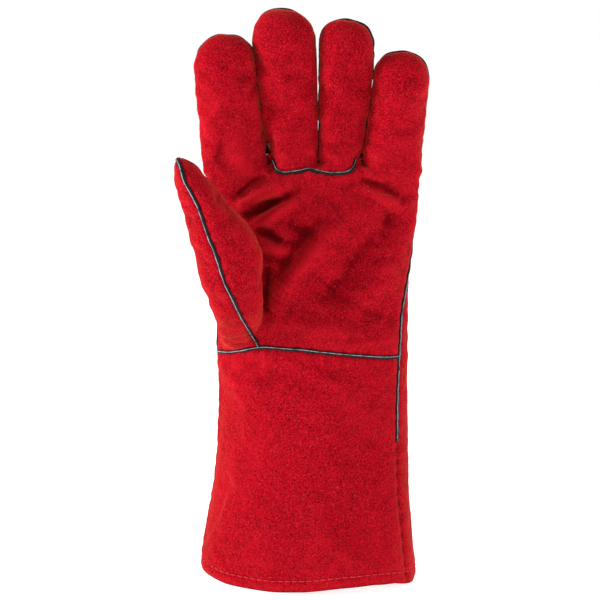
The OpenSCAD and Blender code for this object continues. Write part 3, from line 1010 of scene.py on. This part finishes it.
def welt_leather():
    """Charcoal grain leather with a painted grey highlight line along one side of its ridge."""
    n = Nodes("welt_leather")
    place = n.node("ShaderNodeTexCoord").outputs["Object"]
    grain = n.noise(place, 1500, 3)
    scuffs = n.noise(place, 240, 4, 0.7)
    colour = n.mix(n.spread(scuffs, 0.4, 0.7), (0.003, 0.003, 0.004, 1), (0.012, 0.012, 0.014, 1))
    # A painted grey highlight line along one side of the ridge, broken up by the scuffs
    off_ridge = n.math("ABSOLUTE", n.math("ADD", n.attribute("across"), 0.16), 0.0)
    painted_highlight = n.math("MULTIPLY", n.spread(off_ridge, 0.05, 0.12, 1.0, 0.0), n.spread(scuffs, 0.36, 0.54, 0.15, 0.95))
    colour = n.mix(painted_highlight, colour, (0.42, 0.42, 0.46, 1))
    n.set(Base_Color=colour, Roughness=n.spread(scuffs, 0.3, 0.7, 0.5, 0.7))
    n.set(Normal=n.bump(grain, 0.5, 0.0003), Specular_IOR_Level=0.2)
    return n.material


def thread(name, colour):
    n = Nodes(name)
    place = n.node("ShaderNodeTexCoord").outputs["Object"]
    twist = n.noise(place, 2200, 2)
    n.set(Base_Color=n.mix(twist, tuple(c * 0.72 for c in colour[:3]) + (1,), colour), Roughness=0.7)
    n.set(Normal=n.bump(twist, 0.5, 0.0002), Specular_IOR_Level=0.1)
    return n.material


def cotton():
    """The lining: brushed cotton with a fine weave and a soft nap."""
    n = Nodes("cotton_lining")
    rest = n.attribute("rest", "Vector")
    across = n.node("ShaderNodeTexWave", {"Vector": rest, "Scale": 260.0, "Distortion": 1.5}, bands_direction="X")
    up = n.node("ShaderNodeTexWave", {"Vector": rest, "Scale": 260.0, "Distortion": 1.5}, bands_direction="Z")
    weave = n.math("MULTIPLY", across.outputs["Fac"], up.outputs["Fac"])
    nap = n.noise(rest, 700, 3)
    colour = n.mix(nap, (0.62, 0.57, 0.48, 1), (0.82, 0.79, 0.71, 1))
    n.set(Base_Color=colour, Roughness=0.95, Sheen_Weight=0.3)
    n.set(Normal=n.bump(n.math("ADD", weave, nap), 0.5, 0.0004))
    return n.material


FLOOR_GLOW = 0.72       # keeps the floor as pale as the backdrop


def floor_paint():
    n = Nodes("floor_paint")
    place = n.node("ShaderNodeTexCoord").outputs["Object"]
    n.set(Base_Color=n.mix(n.noise(place, 3, 2), (0.86, 0.86, 0.86, 1), (0.88, 0.88, 0.88, 1)), Roughness=0.9)
    n.set(Emission_Color=(1, 1, 1, 1), Emission_Strength=FLOOR_GLOW)
    return n.material


# ---- building ----------------------------------------------------------------------------------
def finished_skin(base, tube, seams):
    """The subdivided and sculpted skin: points, faces, normals, tube numbers and fields."""
    obj = new_object("skin", base.copy())
    obj.modifiers.new("finer", "SUBSURF").levels = 1
    fine = evaluated_copy(obj)
    co, faces = vertices_of(fine), quads_of(fine)
    tree = kd_tree(leaned_places(base))
    tube = np.array([tube[tree.find(p)[1]] for p in leaned_places(fine)])
    normals = normals_of(fine)
    distance, place = seam_field(co, seams)
    lift = sculpt(co, normals, thumb_share(fine, tube), distance, place)
    moved = keep_apart(co + normals * lift[:, None], tube)
    fine.vertices.foreach_set("co", (moved * MM).ravel())
    fine.update()
    # How far each point stands above or below its smoothed surroundings; the suede paints highlight on the crests
    # and shade in the valleys from it
    painted_fold_shading = np.clip((lift - relax(lift[:, None], edges_of(fine), 24)[:, 0]) / 0.55, -1, 1)
    fields = {"rest": moved * MM, "painted_fold_shading": painted_fold_shading, "seam": np.exp(-(distance / 3) ** 2)}
    return moved, faces, normals_of(fine), tube, fields


def main():
    red = suede("suede", (0.13, 0.0002, 0.003, 1), (0.295, 0.0004, 0.007, 1), (0.58, 0.008, 0.019, 1))
    black = welt_leather()
    lining = cotton()
    hem_thread = thread("hem_thread", (0.66, 0.03, 0.04, 1))

    base, tube = base_skin()
    skin = Skin(base, tube)
    seams = all_seams(skin)
    near_seam = np.exp(-(seam_field(skin.co, seams)[0] / 5) ** 2)
    near_hem = smoothstep(HEM_RISE + 12, HEM_RISE, skin.co[:, 2])
    ulnar_edge = smoothstep(42, 52, skin.co[:, 0]) * smoothstep(KNUCKLE_Z, WRIST_Z + 30, skin.co[:, 2])
    filled = filled_out(base, np.maximum.reduce([near_seam, near_hem, ulnar_edge]))
    base.vertices.foreach_set("co", (filled * MM).ravel())
    base.update()
    co, faces, normals, fine_tube, fields = finished_skin(base, tube, seams)
    region, front = face_regions(co, faces, fine_tube)

    replaced = {
        ("cuff", True): ["cuff_front", "thumb_base_inner"], ("cuff", False): ["cuff_back", "thumb_base_outer"],
        ("hand", True): ["palm_panel"], ("hand", False): ["back_panel", "finger_crotches"],
        ("thumb_mid", True): ["thumb_mid_inner"], ("thumb_mid", False): ["thumb_mid_outer"],
        ("thumb_tip", True): ["thumb_tip_inner"], ("thumb_tip", False): ["thumb_tip_outer"],
    }
    for finger in FINGERS:
        for part in ("base", "tip"):
            replaced[f"{finger}_{part}", True] = [f"{finger}_{part}_front"]
            replaced[f"{finger}_{part}", False] = [f"{finger}_{part}_back"]
    for (name, is_front), nodes in replaced.items():
        wanted = (region == name) & (front == is_front)
        face = "palm_side" if is_front else "back_side"
        obj = cut_out(f"{name}_{face}_leather", co, faces, wanted, normals, fields)
        obj.data.materials.append(red)
        follow(obj, name)
        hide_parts(*nodes)

    tree = kd_tree(co)
    welts = {}
    for name, path in seams.items():
        if name == "ulnar_fold":
            continue
        owners = {"ulnar": ["cuff", "hand"], "radial": ["cuff", "hand"], "wrist": ["cuff"], "finger_base": ["hand"],
                  "thumb": ["cuff", "thumb_mid", "thumb_tip"]}.get(name, [name + "_base", name + "_tip"])
        for owner in owners:
            low, high = region_height(owner) if name != "finger_base" else (0, 1000)
            for stretch in runs_between(path, low, high):
                place, up = settled(stretch, tree, normals, co)
                width, height = WELT_SIZE.get(name, WELT_SIZE["other"])
                if name in FINGERS:
                    top = path[:, 2].max()
                    height = height + TIP_WELT * smoothstep(top - 18, top - 8, place[:, 2])
                welts.setdefault((name, owner), []).append(strip(place, up, width, height, 0.8))
    stands_for = {("ulnar", "cuff"): ["cuff_welt_ulnar"], ("ulnar", "hand"): ["hand_welt_ulnar"],
                  ("radial", "cuff"): ["cuff_welt_radial"], ("radial", "hand"): ["hand_welt_radial"],
                  ("wrist", "cuff"): ["wrist_welt_front", "wrist_welt_back"],
                  ("finger_base", "hand"): ["finger_base_welt"], ("thumb", "cuff"): ["thumb_base_welt"],
                  ("thumb", "thumb_mid"): ["thumb_mid_welt"], ("thumb", "thumb_tip"): ["thumb_tip_welt"]}
    for (name, owner), parts in welts.items():
        obj = smooth_object(f"{name}_seam_{owner}_welt", parts, black)
        follow(obj, owner)
        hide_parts(*stands_for.get((name, owner), [f"{owner}_welt"]))

    base_co, base_faces = vertices_of(base), quads_of(base)
    base_normals = normals_of(base)
    on_thumb = thumb_share(base, tube)
    valleys = np.minimum(0, sculpt(base_co, base_normals, on_thumb, *seam_field(base_co, seams)))
    inner = relax(base_co + base_normals * valleys[:, None], edges_of(base), 3)
    inner = keep_apart(inner - base_normals * LINING_DEPTH, tube, LINING_DEPTH)
    base_region, _ = face_regions(base_co, base_faces, tube)
    inside_fields = {"rest": inner * MM}
    for name in sorted(set(base_region)):
        lowest = base_co[base_faces].min(1)
        wanted = (base_region == name) & (lowest[:, 2] > 3 + HEM_RISE)
        obj = cut_out(f"{name}_cotton", inner, base_faces[:, ::-1], wanted, -base_normals, inside_fields)
        obj.data.materials.append(lining)
        follow(obj, name)
        nodes = {"cuff": ["cuff_lining", "thumb_base_lining"], "hand": ["palm_lining", "back_lining"]}
        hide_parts(*nodes.get(name, [name + "_lining"]))

    hem_pieces(base, co, normals, tree, red, hem_thread)


def hem_loop(base):
    """The skin's lowest edge as an ordered loop of points."""
    co = vertices_of(base)
    low = co[co[:, 2] < hem_height(co[:, 0]) + 0.01]
    middle = low.mean(0)
    return low[np.argsort(np.arctan2(low[:, 1] - middle[1], low[:, 0] - middle[0]))]


def hem_pieces(base, co, normals, tree, leather, hem_thread):
    """The leather's cut edge at the cuff's mouth, and the row of stitches above it."""
    loop = resample(np.vstack([hem_loop(base), hem_loop(base)[:1]]), 2.0)[:-1]
    ahead = np.roll(loop, -1, axis=0) - np.roll(loop, 1, axis=0)
    inward = np.stack([-ahead[:, 1], ahead[:, 0], np.zeros(len(loop))], -1)
    inward /= np.linalg.norm(inward, axis=1)[:, None]
    rows = [loop + (0, 0, 0.4), loop + inward * 0.4, loop + inward * (LEATHER - 0.4),
            loop + inward * LEATHER + (0, 0, 0.5), loop + inward * (LEATHER + 0.3) + (0, 0, 6 + HEM_RISE)]
    n = len(loop)
    faces = [(r * n + i, (r + 1) * n + i, (r + 1) * n + (i + 1) % n, r * n + (i + 1) % n)
             for r in range(len(rows) - 1) for i in range(n)]
    edge = smooth_object("hem_cut_edge", [(np.vstack(rows), faces, np.zeros(len(rows) * n))], leather)
    rest = edge.data.attributes.new("rest", "FLOAT_VECTOR", "POINT")
    rest.data.foreach_set("vector", (np.vstack(rows) * MM).astype(np.float32).ravel())
    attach(edge, "cuff")

    tube = TUBES["body"]
    around = resample(raise_hem(np.array([tube.point(STITCH_Z, a) for a in range(0, 361, 3)])), 4.4)
    parts = []
    for a, b in zip(around[:-1], around[1:]):
        path = np.array([a + (b - a) * t for t in (0.12, 0.3, 0.5, 0.7, 0.88)])
        place, up = settled(path, tree, normals, co)
        place = place + up * np.array([-0.25, 0.15, 0.25, 0.15, -0.25])[:, None]
        parts.append(strip(place, up, 0.7, 0.4, 0.3))
    stitches = smooth_object("hem_stitches", parts, hem_thread)
    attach(stitches, "cuff")
    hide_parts("hem_stitching")


# ---- stage, light and camera -------------------------------------------------------------------
WORLD_LIGHT = 0.48      # strength of the even light from all round; the backdrop itself shows white


def stage():
    bm = bmesh.new()
    bmesh.ops.create_grid(bm, x_segments=8, y_segments=8, size=3.0)
    mesh = bpy.data.meshes.new("floor")
    bm.to_mesh(mesh)
    bm.free()
    floor = new_object("floor", mesh)
    floor.location.z = -0.0005
    mesh.materials.append(floor_paint())
    world = bpy.data.worlds.new("studio")
    world.use_nodes = True
    tree = world.node_tree
    seen = tree.nodes.new("ShaderNodeLightPath").outputs["Is Camera Ray"]
    strength = tree.nodes.new("ShaderNodeMapRange")
    strength.inputs["To Min"].default_value = WORLD_LIGHT
    strength.inputs["To Max"].default_value = 1.0
    tree.links.new(seen, strength.inputs["Value"])
    tree.links.new(strength.outputs[0], tree.nodes["Background"].inputs["Strength"])
    tree.nodes["Background"].inputs["Color"].default_value = (1, 1, 1, 1)
    bpy.context.scene.world = world
    bpy.context.scene.view_settings.view_transform = "Standard"


def area_light(name, place, target, size, power):
    data = bpy.data.lights.new(name, "AREA")
    data.shape = "DISK"
    data.size = size
    data.energy = power
    light = bpy.data.objects.new(name, data)
    light.location = place
    light.rotation_euler = (Vector(target) - Vector(place)).to_track_quat("-Z", "Y").to_euler()
    bpy.context.scene.collection.objects.link(light)


def lights_and_camera():
    centre = Vector((-0.0039, 0, 0.175))
    area_light("key", (-1.3, -0.35, 0.6), centre, 0.45, 20)
    area_light("fill", (1.2, -0.3, 0.5), centre, 0.8, 6)
    area_light("rim", (0.3, 0.9, 0.9), centre, 0.8, 6)
    data = bpy.data.cameras.new("camera")
    data.lens = 88.5
    camera = bpy.data.objects.new("camera", data)
    distance, elevation = 0.90, math.radians(11)
    camera.location = centre + Vector((0, -math.cos(elevation), math.sin(elevation))) * distance
    camera.rotation_euler = (centre - camera.location).to_track_quat("-Z", "Y").to_euler()
    bpy.context.scene.collection.objects.link(camera)
    bpy.context.scene.camera = camera


main()
stage()
lights_and_camera()
